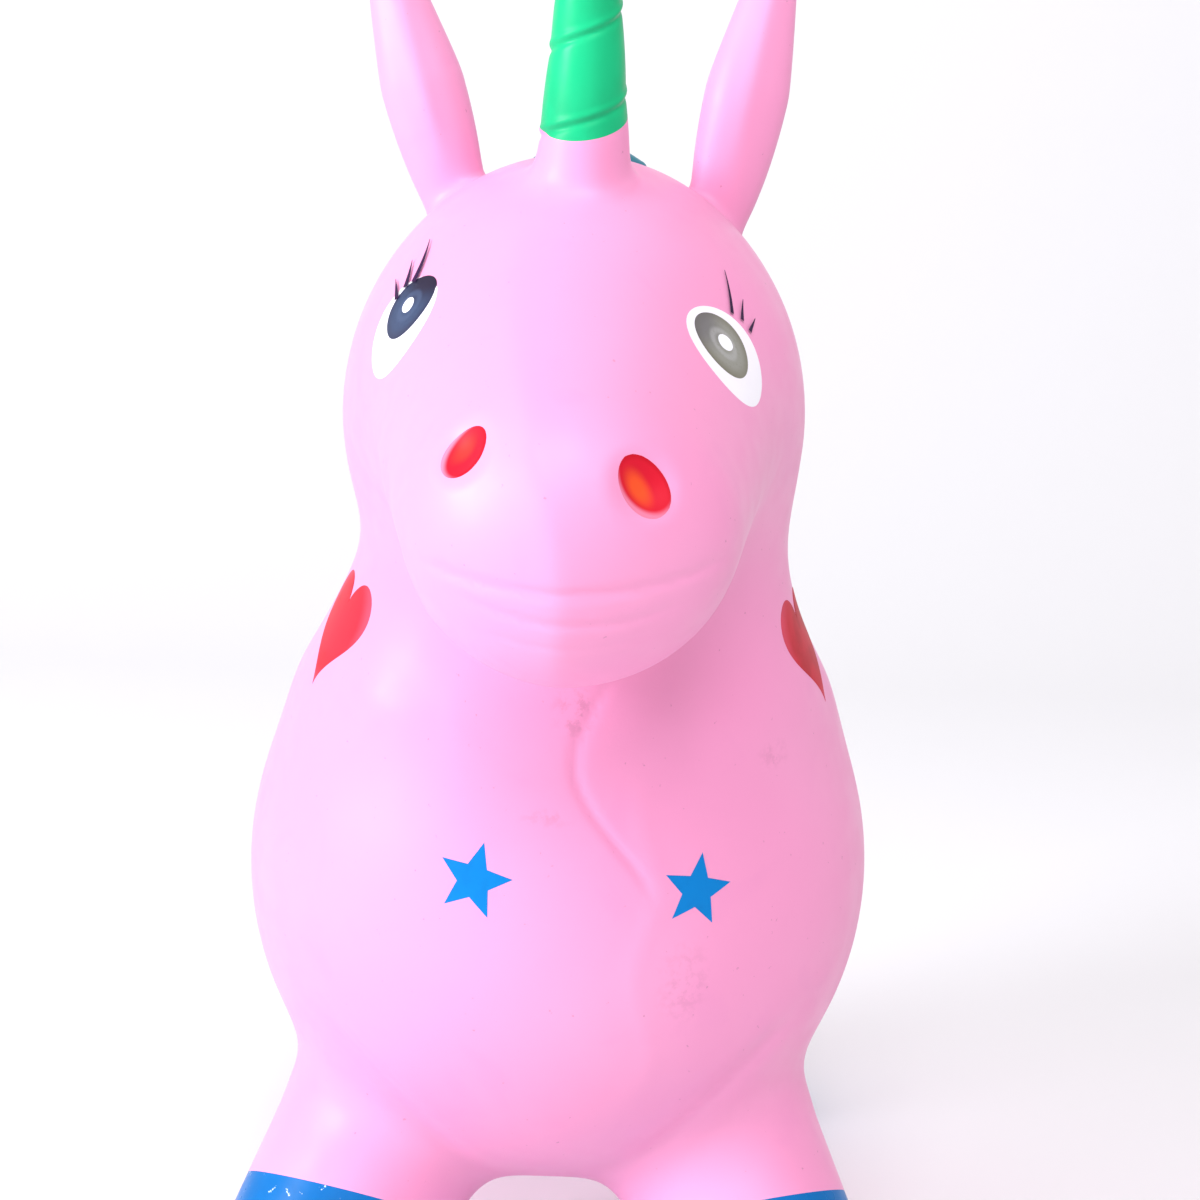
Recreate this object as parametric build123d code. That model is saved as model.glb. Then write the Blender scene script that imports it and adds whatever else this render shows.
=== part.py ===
from build123d import *
import math
import os

# Inflatable ride-on unicorn. Millimetres. Nose towards -Y, crown and horn towards +Z, and the
# animal's own left is +X. The origin is on the floor, under the middle of the toy.

# ---- Skin ---------------------------------------------------------------------------------
WALL = 2.0              # thickness of the soft vinyl skin
SOLE = 3.0              # thicker floor of each foot
GAP = 0.4               # free gap at every line where the skin flexes

# ---- Trunk: three swollen ellipsoids that run into each other -------------------------------
CHEST = ((0, -62, 195), (128, 118, 133))
BELLY = ((0, 40, 183), (122, 130, 108))
RUMP = ((0, 122, 186), (118, 112, 114))

# ---- Head and neck --------------------------------------------------------------------------
HEAD_BREADTH = 1.10     # neck and muzzle are this much wider than deep
NECK = ((0, -84, 280), (0, -86, 372), 84.5, 80.0)
CROWN = ((0, -92, 398), (83, 82, 87.5))
MUZZLE = ((0, -118, 396), (0, -206, 360), 74.0, 56.0)
NECK_BALL = ((0, -78, 285), 106.0)      # the neck nods about this centre

# ---- Horn -----------------------------------------------------------------------------------
HORN = ((0, -127.7, 476), (0, -150, 604), 17.8, 6.0)
HORN_BALL = ((0, -128, 478), 20.2)
HORN_PAINT = ((0, -131, 499), (-0.42, 0.22, 0.88))      # the paint starts at this slanted plane

# ---- Ears -----------------------------------------------------------------------------------
EAR_FOOT = (48, -70, 446)
EAR_TILT = {"left": 9.0, "right": 20.0}    # the soft ears lean unequally
EAR_DEPTH = 11.5
EAR_OUTLINE = ((8, 0), (13, 30), (16.5, 67), (13.5, 108), (7.5, 134))   # half width, height
EAR_TIP = 145.0
EAR_BALL_HEIGHT = 16.0
EAR_BALL_RADIUS = 20.0
EAR_AIRWAY_RADIUS = 7.0

# ---- Legs -----------------------------------------------------------------------------------
HIP = (69, -88, 81.5)               # front left; the rear legs mirror the front ones
FOOT = (98.6, -124, 22)
LEG_MIRROR_Y = 16.0
REAR_INSET = 12.0       # the rear legs stand this much closer together on each side
HIP_RADIUS = 46.0
FOOT_RADIUS = 41.5
HIP_BALL = ((66, -85, 84), 50.4)
LEG_AIRWAY = (42.5, 60.0)           # radius and length of the passage into each leg
HOOF_LINE = 33.0        # the hoof's paint starts this far down the leg from the hip

# ---- Tail stub ------------------------------------------------------------------------------
TAIL = ((0, 214, 243), (0, 247, 243), 9.0, 15.0)
TAIL_BALL = ((0, 219, 243), 16.0)

# ---- Mane: a raised crest over the crown ----------------------------------------------------
MANE = ((0, -88, 398), (22, 92, 95))
MANE_FRONT = -98.0
MANE_FOOT = 372.0

# ---- Saddle patch ---------------------------------------------------------------------------
SADDLE_CENTRE_Y = 84.0
SADDLE_SIZE = (128.0, 122.0)
SADDLE_CORNER = 46.0
SADDLE_LOW = 205.0

# ---- Air valve, low on the rump -------------------------------------------------------------
VALVE_POINT = (0, 213.7, 120.6)
VALVE_AXIS = (0, 0.82, -0.57)
SEAT_RADIUS = 13.0
SEAT_RISE = 1.0
SEAT_DEPTH = 3.0
SEAT_TUBE_RADIUS = 7.5
SEAT_TUBE_LENGTH = 14.0
BORE_RADIUS = 5.0
PLUG_RADIUS = 4.7
PLUG_LENGTH = 16.0
PLUG_HEAD = (8.5, 2.6)
PLUG_LIFT = 0.3         # free gap under the plug's head
PLUG_TAPER = 1.5
PLUG_ROUND = 0.8
PLUG_TAB = (5.0, 2.4, 6.0)

# ---- Painted marks --------------------------------------------------------------------------
MARK_DEPTH = 26.0       # how far each mark's outline reaches in and out through the skin

# Eyes: place on the skin, way it faces, iris radii, glint radii, and the white's radii and
# how far the white's middle lies from the iris, in the eye's own across and up directions.
EYES = {
    "right": dict(at=(-61, -158, 428.5), facing=(-0.72, -0.49, 0.50), lean=-20, iris=(11.5, 13.5),
                  glint=(3.6, 3.9), white=(17.0, 20.0), white_shift=(-2.0, -4.5)),
    "left": dict(at=(52, -182, 419.5), facing=(0.67, -0.46, 0.59), lean=20, iris=(13.0, 14.5),
                 glint=(3.6, 4.0), white=(18.5, 21.0), white_shift=(1.0, -1.5)),
}
# Each eyelash: foot and tip, across and up from the middle of the iris.
LASHES = {
    "right": (((2, 12), (7.5, 29)), ((-3, 13), (-4.5, 23)), ((-7, 11), (-11, 18))),
    "left": (((0, 15), (1.5, 31)), ((5, 14.5), (8, 22)), ((9, 12), (13, 17))),
}
LASH_FOOT_WIDTH = 2.0
LASH_TIP_WIDTH = 0.7

NOSTRILS = {
    "right": dict(at=(-37, -242, 387), facing=(-0.56, -0.66, 0.49), lean=-28, radii=(8.5, 11.0)),
    "left": dict(at=(24.4, -254, 379), facing=(0.36, -0.87, 0.34), lean=28, radii=(9.5, 12.5)),
}
STARS = {
    "right": dict(at=(-31.3, -175, 218), facing=(-0.23, -0.97, 0.13), lean=12, radius=15.0),
    "left": dict(at=(52.6, -168, 215), facing=(0.38, -0.92, 0.12), lean=10, radius=14.5),
}
STAR_WAIST = 0.42       # inner corner radius as a share of the point radius
HEARTS = {
    "right": dict(at=(-88, -112, 302), facing=(-0.91, -0.41, 0.0), lean=8),
    "left": dict(at=(92, -104, 299), facing=(0.93, -0.36, 0.0), lean=-6),
}
HEART_LOBE = 11.5
HEART_HEIGHT = 42.0

SIDES = ("left", "right")
ENDS = ("front", "rear")
ROOM = 1200.0           # wider than the whole toy


# ---- Shape helpers --------------------------------------------------------------------------
def ellipsoid(centre, radii, inset=0.0):
    body = scale(Sphere(1), by=tuple(r - inset for r in radii))
    return Pos(*centre) * body


def ball(centre, radius):
    return Pos(*centre) * Sphere(radius)


def round_cone(start, end, start_radius, end_radius, inset=0.0):
    """Two spheres joined by the cone that is tangent to both."""
    start, end = Vector(*start), Vector(*end)
    axis = end - start
    ra, rb = start_radius - inset, end_radius - inset
    slope = math.asin((ra - rb) / axis.length)

    def on_arc(radius, middle, angle):
        return (radius * math.cos(angle), middle + radius * math.sin(angle))

    low = on_arc(ra, 0, -math.pi / 2)
    low_tangent = on_arc(ra, 0, slope)
    high_tangent = on_arc(rb, axis.length, slope)
    high = on_arc(rb, axis.length, math.pi / 2)
    with BuildSketch(Plane.XZ) as outline:
        with BuildLine():
            ThreePointArc(low, on_arc(ra, 0, (slope - math.pi / 2) / 2), low_tangent)
            Line(low_tangent, high_tangent)
            ThreePointArc(high_tangent, on_arc(rb, axis.length, (slope + math.pi / 2) / 2), high)
            Line(high, low)
        make_face()
    return Plane(origin=start, z_dir=axis).location * revolve(outline.sketch, Axis.Z, 360)


def half_space(point, facing):
    """A block wider than the toy, on the side of a plane that it faces."""
    block = Pos(0, 0, ROOM / 2) * Box(ROOM, ROOM, ROOM)
    return Plane(origin=point, z_dir=facing).location * block


def keep_above(shape, height):
    return shape & half_space((0, 0, height), (0, 0, 1))


def skin_plane(at, facing, lean=0.0):
    """A plane on the skin: x across, y up the skin, turned clockwise by lean as seen outside."""
    facing = Vector(*facing).normalized()
    across = Vector(0, 0, 1).cross(facing)
    return Plane(origin=at, x_dir=across, z_dir=facing).rotated((0, 0, -lean))


def on_side(shape, side):
    """The piece itself on the left, its mirror image on the right."""
    return shape if side == "left" else mirror(shape, Plane.YZ)


def leg_place(shape, end, side):
    """The front left leg's piece, mirrored or turned to where another leg stands."""
    if end == "front":
        return on_side(shape, side)
    if side == "left":
        return Pos(-REAR_INSET, 0, 0) * mirror(shape, Plane.XZ.offset(-LEG_MIRROR_Y))
    return Pos(REAR_INSET, 0, 0) * shape.rotate(Axis((0, LEG_MIRROR_Y, 0), (0, 0, 1)), 180)


def punch(plane, sketch, depth=MARK_DEPTH):
    """The outline's prism, reaching in and out through the skin."""
    return plane.location * extrude(sketch, amount=depth, both=True)


# ---- Outlines of the painted marks ----------------------------------------------------------
def oval(radii, shift=(0.0, 0.0)):
    return Pos(*shift) * Ellipse(*radii)


def star(radius):
    corners = []
    for k in range(10):
        reach = radius if k % 2 == 0 else radius * STAR_WAIST
        angle = math.radians(90 + 36 * k)
        corners.append((reach * math.cos(angle), reach * math.sin(angle)))
    return make_face(Polyline(*corners, close=True))


def heart():
    top = HEART_HEIGHT / 2 - HEART_LOBE
    tip = (0, -HEART_HEIGHT / 2)
    spread = 0.9 * HEART_LOBE
    lobes = Sketch() + [Pos(x, top) * Circle(HEART_LOBE) for x in (-spread, spread)]
    hip = 1.85 * HEART_LOBE
    low = top - 0.3 * HEART_LOBE
    point = make_face(Polyline((0, top), (-hip, low), tip, (hip, low), close=True))
    return lobes + point


def lash(foot, tip):
    foot, tip = Vector(*foot), Vector(*tip)
    side = (tip - foot).normalized().rotate(Axis.Z, 90)
    wide, thin = side * (LASH_FOOT_WIDTH / 2), side * (LASH_TIP_WIDTH / 2)
    corners = [(p.X, p.Y) for p in (foot - wide, tip - thin, tip + thin, foot + wide)]
    return make_face(Polyline(*corners, close=True))


# ---- Inflated forms: inset 0 is the outside of the skin, inset WALL is the inside -----------
def trunk_form(inset):
    return ellipsoid(*CHEST, inset) + ellipsoid(*BELLY, inset) + ellipsoid(*RUMP, inset)


def head_form(inset):
    broad = (HEAD_BREADTH, 1, 1)
    neck = scale(round_cone(*NECK, inset), by=broad)
    muzzle = scale(round_cone(*MUZZLE, inset), by=broad)
    return neck + ellipsoid(*CROWN, inset) + muzzle


def horn_form(inset):
    return round_cone(*HORN, inset)


def tail_form(inset):
    return round_cone(*TAIL, inset)


def leg_form(inset):
    """The front left leg."""
    leg = round_cone(HIP, FOOT, HIP_RADIUS, FOOT_RADIUS, inset)
    return keep_above(leg, SOLE if inset else 0)


def ear_form(inset):
    """An ear standing upright with its foot at the origin."""
    widest = max(width for width, height in EAR_OUTLINE)
    side = [(width - inset, height) for width, height in EAR_OUTLINE]
    tip = (0, EAR_TIP - inset)
    with BuildSketch(Plane.XZ) as outline:
        with BuildLine():
            Line((0, side[0][1]), side[0])
            Spline(*side, tip, tangents=[(0.3, 1), (-1, 0.1)])
            Line(tip, (0, side[0][1]))
        make_face()
    flatness = (EAR_DEPTH - inset) / (widest - inset)
    return scale(revolve(outline.sketch, Axis.Z, 360), by=(1, flatness, 1))


def ear_ball(radius):
    return Pos(0, 0, EAR_BALL_HEIGHT) * Sphere(radius)


def ear_place(shape, side):
    """The upright ear's piece, leaned outwards where that side's ear stands."""
    return on_side(Location(EAR_FOOT, (0, EAR_TILT[side], 0)) * shape, side)


# ---- Pieces ---------------------------------------------------------------------------------
def make_legs(parts):
    """Each leg is a skin that starts at its ball-shaped flex line and ends in a painted hoof."""
    hip, foot = Vector(*HIP), Vector(*FOOT)
    down = (foot - hip).normalized()
    skin = leg_form(0) - leg_form(WALL) - ball(*HIP_BALL)
    below = half_space(hip + down * HOOF_LINE, down)
    for end in ENDS:
        for side in SIDES:
            parts[f"leg_{end}_{side}"] = leg_place(skin - below, end, side)
            parts[f"hoof_{end}_{side}"] = leg_place(skin & below, end, side)


def make_ears(parts):
    ear = ear_form(0) - ear_form(WALL) - ear_ball(EAR_BALL_RADIUS)
    for side in SIDES:
        parts[f"ear_{side}"] = ear_place(ear, side)


def make_horn(parts):
    skin = horn_form(0) - horn_form(WALL) - ball(*HORN_BALL)
    painted = half_space(*HORN_PAINT)
    parts["horn_base"] = skin - painted
    parts["horn_tip"] = skin & painted


def make_tail(parts):
    parts["tail"] = tail_form(0) - tail_form(WALL) - ball(*TAIL_BALL)


def neck_root():
    centre, radius = NECK_BALL
    return head_form(0) & ball(centre, radius - GAP)


def leg_airway():
    """The hollow of a leg's root, open from the trunk down to the flex line."""
    hip, foot = Vector(*HIP), Vector(*FOOT)
    down = (foot - hip).normalized()
    tube = Plane(origin=hip + down * LEG_AIRWAY[1] / 2, z_dir=down).location * Cylinder(*LEG_AIRWAY)
    return ball(HIP, HIP_RADIUS - WALL) + tube


def make_torso():
    centre, radius = TAIL_BALL
    skin = trunk_form(0) + neck_root() + (tail_form(0) & ball(centre, radius - GAP))
    centre, radius = HIP_BALL
    leg_root = leg_form(0) & ball(centre, radius - GAP)
    places = [(end, side) for end in ENDS for side in SIDES]
    for place in places:
        skin += leg_place(leg_root, *place)
    skin = skin - trunk_form(WALL) - head_form(WALL) - tail_form(WALL)
    airway = leg_airway()
    for place in places:
        skin -= leg_place(airway, *place)
    return skin


def make_head():
    centre, radius = HORN_BALL
    skin = head_form(0) + (horn_form(0) & ball(centre, radius - GAP))
    root = ear_form(0) & ear_ball(EAR_BALL_RADIUS - GAP)
    for side in SIDES:
        skin += ear_place(root, side)
    skin = skin - ball(*NECK_BALL) - head_form(WALL) - horn_form(WALL)
    bore = Cylinder(EAR_AIRWAY_RADIUS, 3 * EAR_BALL_RADIUS)
    airway = Pos(0, 0, EAR_BALL_HEIGHT) * bore
    for side in SIDES:
        skin -= ear_place(airway, side)
    return skin


def paint(skin, parts, name, prism):
    """Gives the stretch of skin inside the prism to its own painted piece."""
    parts[name] = skin & prism
    return skin - prism


def paint_face(skin, parts):
    for side in SIDES:
        eye = EYES[side]
        plane = skin_plane(eye["at"], eye["facing"], eye["lean"])
        level = skin_plane(eye["at"], eye["facing"])
        skin = paint(skin, parts, f"eye_glint_{side}", punch(plane, oval(eye["glint"])))
        skin = paint(skin, parts, f"iris_{side}", punch(plane, oval(eye["iris"])))
        white = oval(eye["white"], eye["white_shift"])
        skin = paint(skin, parts, f"eye_white_{side}", punch(plane, white))
        lashes = Part() + [punch(level, lash(*ends)) for ends in LASHES[side]]
        skin = paint(skin, parts, f"eyelashes_{side}", lashes)
        nostril = NOSTRILS[side]
        place = skin_plane(nostril["at"], nostril["facing"], nostril["lean"])
        skin = paint(skin, parts, f"nostril_{side}", punch(place, oval(nostril["radii"])))
    return skin


def paint_body(skin, parts):
    for side in SIDES:
        mark = STARS[side]
        place = skin_plane(mark["at"], mark["facing"], mark["lean"])
        skin = paint(skin, parts, f"star_{side}", punch(place, star(mark["radius"])))
        mark = HEARTS[side]
        place = skin_plane(mark["at"], mark["facing"], mark["lean"])
        skin = paint(skin, parts, f"heart_{side}", punch(place, heart()))
    high = CHEST[0][2] + CHEST[1][2]
    outline = RectangleRounded(*SADDLE_SIZE, SADDLE_CORNER)
    prism = Pos(0, SADDLE_CENTRE_Y, SADDLE_LOW) * extrude(outline, amount=high - SADDLE_LOW)
    return paint(skin, parts, "saddle", prism)


def make_mane():
    crest = ellipsoid(*MANE)
    crest = crest & half_space((0, MANE_FRONT, 0), (0, 1, 0))
    return keep_above(crest, MANE_FOOT) - head_form(0)


def make_valve(skin, parts):
    place = Plane(origin=VALVE_POINT, z_dir=VALVE_AXIS).location
    skin -= place * Cylinder(SEAT_RADIUS, 4 * SEAT_DEPTH)
    flange = Pos(0, 0, (SEAT_RISE - SEAT_DEPTH) / 2) * Cylinder(SEAT_RADIUS, SEAT_RISE + SEAT_DEPTH)
    tube = Pos(0, 0, SEAT_RISE - SEAT_TUBE_LENGTH / 2) * Cylinder(SEAT_TUBE_RADIUS, SEAT_TUBE_LENGTH)
    bore = Cylinder(BORE_RADIUS, 4 * SEAT_TUBE_LENGTH)
    parts["valve_seat"] = place * (flange + tube - bore)

    head_radius, head_height = PLUG_HEAD
    rest = SEAT_RISE + PLUG_LIFT
    stem = Pos(0, 0, rest - PLUG_LENGTH / 2) * Cylinder(PLUG_RADIUS, PLUG_LENGTH)
    stem = chamfer(stem.edges().sort_by(Axis.Z)[0], PLUG_TAPER)
    head = Pos(0, 0, rest + head_height / 2) * Cylinder(head_radius, head_height)
    head = fillet(head.edges().sort_by(Axis.Z)[-1], PLUG_ROUND)
    tab = Pos(0, 0, rest + head_height + PLUG_TAB[2] / 2) * Box(*PLUG_TAB)
    parts["valve_plug"] = place * (stem + head + tab)
    return skin


def make_parts():
    parts = {}
    make_legs(parts)
    make_ears(parts)
    make_horn(parts)
    make_tail(parts)
    torso = make_valve(make_torso(), parts)
    parts["torso_skin"] = paint_body(torso, parts)
    parts["head_skin"] = paint_face(make_head(), parts)
    parts["mane"] = make_mane()
    return parts


os.makedirs("parts", exist_ok=True)
for node, shape in make_parts().items():
    export_step(shape, f"parts/{node}.step")
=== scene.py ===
import math
import bmesh
import bpy
import numpy as np
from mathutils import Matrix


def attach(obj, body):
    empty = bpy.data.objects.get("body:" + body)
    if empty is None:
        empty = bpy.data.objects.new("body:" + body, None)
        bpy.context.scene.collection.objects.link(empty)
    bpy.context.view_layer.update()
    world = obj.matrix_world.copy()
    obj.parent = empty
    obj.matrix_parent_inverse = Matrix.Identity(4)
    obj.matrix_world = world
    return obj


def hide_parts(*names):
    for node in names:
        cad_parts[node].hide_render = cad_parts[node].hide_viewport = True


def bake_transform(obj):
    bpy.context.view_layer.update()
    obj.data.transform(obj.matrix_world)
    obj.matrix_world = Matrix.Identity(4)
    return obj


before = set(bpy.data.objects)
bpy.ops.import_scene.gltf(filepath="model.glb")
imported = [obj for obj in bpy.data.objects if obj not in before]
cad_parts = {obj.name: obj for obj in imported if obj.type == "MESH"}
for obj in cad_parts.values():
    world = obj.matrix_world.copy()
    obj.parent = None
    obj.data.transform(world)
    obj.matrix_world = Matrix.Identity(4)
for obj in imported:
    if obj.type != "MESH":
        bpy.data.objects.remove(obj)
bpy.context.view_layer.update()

import openvdb
from mathutils import Matrix, Vector

# ---- Plump forms: centre and radii, or the two ends and radii of a round cone ------------
CHEST = ((0, -0.062, 0.195), (0.128, 0.118, 0.133))
BELLY = ((0, 0.040, 0.183), (0.122, 0.130, 0.108))
RUMP = ((0, 0.122, 0.186), (0.118, 0.112, 0.114))
NECK = ((0, -0.084, 0.280), (0, -0.086, 0.372), 0.0845, 0.080)
CROWN = ((0, -0.092, 0.398), (0.083, 0.082, 0.0875))
MUZZLE = ((0, -0.118, 0.396), (0, -0.206, 0.360), 0.074, 0.056)
CHIN = ((0, -0.212, 0.338), (0.038, 0.036, 0.030))
HEAD_BREADTH = 1.10
HORN = ((0, -0.1262, 0.466), (0, -0.150, 0.604), 0.0185, 0.0060)
TAIL = ((0, 0.205, 0.243), (0, 0.244, 0.236), 0.0105, 0.0165)
HIP = (0.069, -0.088, 0.0815)
FOOT = (0.0986, -0.124, 0.022)
HIP_RADIUS, FOOT_RADIUS = 0.044, 0.0415
LEG_MIRROR_Y = 0.016
REAR_INSET = 0.012
EAR_FOOT = {"left": (0.0515, -0.070, 0.446), "right": (0.0440, -0.070, 0.446)}
EAR_TILT = {"left": math.radians(10.5), "right": math.radians(17.5)}
EAR_LENGTH, EAR_WIDTH, EAR_DEPTH = 0.145, 0.0165, 0.0115      # half width and half depth
EAR_WIDEST, EAR_BASE = 0.066, 0.0336       # height of the widest place, and the taper below it

BODY_MELT, CROWN_MELT, MUZZLE_MELT, NECK_MELT = 0.050, 0.030, 0.026, 0.040
LEG_MELT, EAR_MELT, HORN_MELT, TAIL_MELT, CHIN_MELT = 0.032, 0.012, 0.014, 0.012, 0.020

LEGS = [(end, side) for end in ("front", "rear") for side in ("left", "right")]
SIDES = {"left": 1, "right": -1}


def unit(v):
    v = np.asarray(v, float)
    return v / np.linalg.norm(v)


# ---- The skin as a field: below zero inside, above zero outside ------------
def melt(a, b, width):
    """The nearer of two surfaces, rounded over a width where they meet."""
    h = np.maximum(width - np.abs(a - b), 0) / width
    return np.minimum(a, b) - h * h * h * width / 6


def ellipsoid(p, centre, radii):
    q, radii = p - np.array(centre), np.array(radii)
    k0 = np.linalg.norm(q / radii, axis=-1)
    k1 = np.linalg.norm(q / (radii * radii), axis=-1)
    return k0 * (k0 - 1) / np.maximum(k1, 1e-3)


def round_cone(p, a, b, ra, rb, breadth=1.0):
    s = np.array([1 / breadth, 1, 1])
    p, a, b = p * s, np.array(a) * s, np.array(b) * s
    axis = b - a
    l2, rr = axis @ axis, ra - rb
    a2 = l2 - rr * rr
    pa = p - a
    y = pa @ axis
    z = y - l2
    x = pa * l2 - y[..., None] * axis
    x2 = (x * x).sum(-1)
    y2, z2 = y * y * l2, z * z * l2
    k = np.sign(rr) * rr * rr * x2
    far = np.sqrt(x2 + z2) / l2 - rb
    near = np.sqrt(x2 + y2) / l2 - ra
    side = (np.sqrt(np.maximum(x2 * a2 / l2, 0)) + y * rr) / l2 - ra
    return np.where(np.sign(z) * a2 * z2 > k, far, np.where(np.sign(y) * a2 * y2 < k, near, side))


HORN_AXIS = unit(np.subtract(HORN[1], HORN[0]))
HORN_SIDE = np.array([1.0, 0, 0])
HORN_FRONT = np.cross(HORN_SIDE, HORN_AXIS)
HORN_PITCH = 0.031         # climb of the spiral in one turn
HORN_STEP = 0.0008         # height of each band


def ear_form(p):
    """Each ear is a leaf: widest a little above its foot, with a soft ridge down its front."""
    left = p[..., 0] > 0
    tilt = np.where(left, EAR_TILT["left"], EAR_TILT["right"])
    x = np.abs(p[..., 0]) - np.where(left, EAR_FOOT["left"][0], EAR_FOOT["right"][0])
    _, foot_y, foot_z = EAR_FOOT["left"]
    z = p[..., 2] - foot_z
    t = x * np.sin(tilt) + z * np.cos(tilt)
    u = x * np.cos(tilt) - z * np.sin(tilt)
    v = foot_y - p[..., 1]
    s = np.where(t < EAR_WIDEST, (t - EAR_WIDEST) / (2 * EAR_BASE),
                 (t - EAR_WIDEST) / (EAR_LENGTH - EAR_WIDEST))
    s = np.clip(s, -0.999, 0.9995)
    taper = 1 - np.maximum(np.sqrt(s * s + 0.0036) - 0.06, 0)
    shape = np.where(s < 0, np.sqrt(1 - s * s), np.maximum(taper, 1e-4) ** 0.75)
    w, d = EAR_WIDTH * shape, EAR_DEPTH * shape
    g = np.sqrt((u / w) ** 2 + (v / d) ** 2) + 1e-9
    f = (g - 1) * g / np.sqrt(u * u / w ** 4 + v * v / d ** 4 + 1e-6)
    over = np.maximum(t - EAR_LENGTH, 0) + np.maximum(-0.001 - t, 0)
    f = np.where(over > 0, np.sqrt(np.maximum(f, 0) ** 2 + over ** 2), f)
    middle = np.clip((t - 0.030) / 0.03, 0, 1) * np.clip((EAR_LENGTH - t) / 0.05, 0, 1)
    ridge = 0.0012 * np.exp(-(u / 0.0045) ** 2) * middle * (v > 0)
    return f - ridge


def horn_place(p):
    """Distance along the horn and the angle round it, from its front towards its left side."""
    r = p - np.array(HORN[0])
    return r @ HORN_AXIS, np.arctan2(r @ HORN_SIDE, r @ HORN_FRONT)


def horn_turn(p):
    """How far up its spiral a point of the horn is, in turns. It climbs towards the left side."""
    t, angle = horn_place(p)
    return (t - HORN_PITCH) / HORN_PITCH - (angle + 0.5) / (2 * math.pi)


def horn_form(p):
    """A tapered twist: each band swells and then steps in to the next one."""
    t, _ = horn_place(p)
    phase = horn_turn(p) % 1.0
    swell = 4 * phase * (1 - phase)
    step = np.exp(-(np.minimum(phase, 1 - phase) / 0.045) ** 2)
    ends = np.clip((t - 0.004) / 0.012, 0, 1) * np.clip((0.142 - t) / 0.012, 0, 1)
    lip = np.exp(-((phase - 0.085) / 0.045) ** 2)
    bands = HORN_STEP * (0.6 * swell - 0.7 * step + 0.6 * lip)
    return round_cone(p, *HORN) - bands * ends


def trough(distance, depth, width):
    """A soft groove of a depth, fading with distance from its middle."""
    return depth * np.exp(-(distance / width) ** 2)


def fade(value, start, end):
    """0 before the start, 1 past the end, and a smooth step between them."""
    h = np.clip((value - start) / (end - start), 0, 1)
    return h * h * (3 - 2 * h)


# Each nostril: place, outward direction, half height, half width, and lean in degrees.
NOSTRILS = {"left": ((0.0244, -0.254, 0.379), (0.36, -0.87, 0.34), 0.0117, 0.0086, -28),
            "right": ((-0.037, -0.242, 0.387), (-0.56, -0.66, 0.49), 0.0105, 0.0080, 30)}


def face_detail(p):
    """Soft moulded lines of the head: nose keel, two smile lines and the nostril dents."""
    x, y, z = p[..., 0], p[..., 1], p[..., 2]
    front = fade(-y, 0.150, 0.205)
    keel_x = -0.003 - 0.020 * fade(z, 0.335, 0.44)
    keel = 0.0034 * np.exp(-np.sqrt((x - keel_x) ** 2 + 0.004 ** 2) / 0.014)
    keel = keel * fade(-y, 0.125, 0.175) * fade(z, 0.285, 0.32) * (1 - 0.55 * fade(z, 0.39, 0.46))
    line = z - (0.3425 + 3.0 * (x + 0.004) ** 2)
    out = trough(line, 0.0009, 0.0022) * front * fade(0.060 - np.abs(x), 0, 0.02)
    line = z - (0.3315 + 5.0 * (x - 0.002) ** 2)
    out = out + trough(line, 0.0007, 0.0018) * front * fade(0.042 - np.abs(x), 0, 0.016)
    line = z - (0.3225 + 6.0 * x ** 2)
    out = out + trough(line, 0.0004, 0.0018) * front * fade(0.034 - np.abs(x), 0, 0.014)
    for at, *_ in NOSTRILS.values():
        away = np.linalg.norm(p - np.array(at), axis=-1)
        out = out + trough(away, 0.0042, 0.0088)
        out = out - trough(away - 0.0135, 0.0003, 0.0045)
    return out - keel


WAIST_HEIGHT, SHOULDER_HEIGHT = 0.334, 0.280
WAIST_SHARE = (0.55, 1.25)          # the waist is deeper on the animal's right than on its left


def body_detail(p):
    """Chest wrinkles, the creases of the front legs, the neck's waist and fuller shoulders."""
    x, y, z = p[..., 0], p[..., 1], p[..., 2]
    front = fade(-y, 0.10, 0.135)
    path = 0.013 + 0.012 * np.sin((z - 0.287) * 58) + 0.16 * (0.287 - z)
    out = trough(x - path, 0.0006, 0.0028) * front * fade(z, 0.205, 0.23) * fade(0.30 - z, 0, 0.02)
    path = 0.034 + 0.004 * np.sin(z * 95)
    lower = fade(z, 0.11, 0.15) * fade(0.27 - z, 0, 0.04)
    out = out - trough(x - path, 0.0003, 0.005) * front * lower
    crease = np.abs(x) - (0.078 - 0.9 * (0.138 - z))
    reach = fade(-y, 0.09, 0.13) * fade(z, 0.07, 0.10)
    out = out + trough(crease, 0.0020, 0.0075) * reach * fade(0.165 - z, 0, 0.03)
    flank = fade(np.abs(x), 0.045, 0.080) * fade(0.03 - y, 0, 0.05)
    waist = trough(z - WAIST_HEIGHT, 0.0048, 0.022)
    out = out + waist * flank * np.where(x > 0, *WAIST_SHARE)
    return out - trough(z - SHOULDER_HEIGHT, 0.0034, 0.024) * flank


def trunk_form(p):
    f = melt(ellipsoid(p, *CHEST), ellipsoid(p, *BELLY), BODY_MELT)
    return melt(f, ellipsoid(p, *RUMP), BODY_MELT)


def head_form(p):
    f = melt(round_cone(p, *NECK, HEAD_BREADTH), ellipsoid(p, *CROWN), CROWN_MELT)
    f = melt(f, round_cone(p, *MUZZLE, HEAD_BREADTH), MUZZLE_MELT)
    return melt(f, ellipsoid(p, *CHIN), CHIN_MELT)


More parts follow.
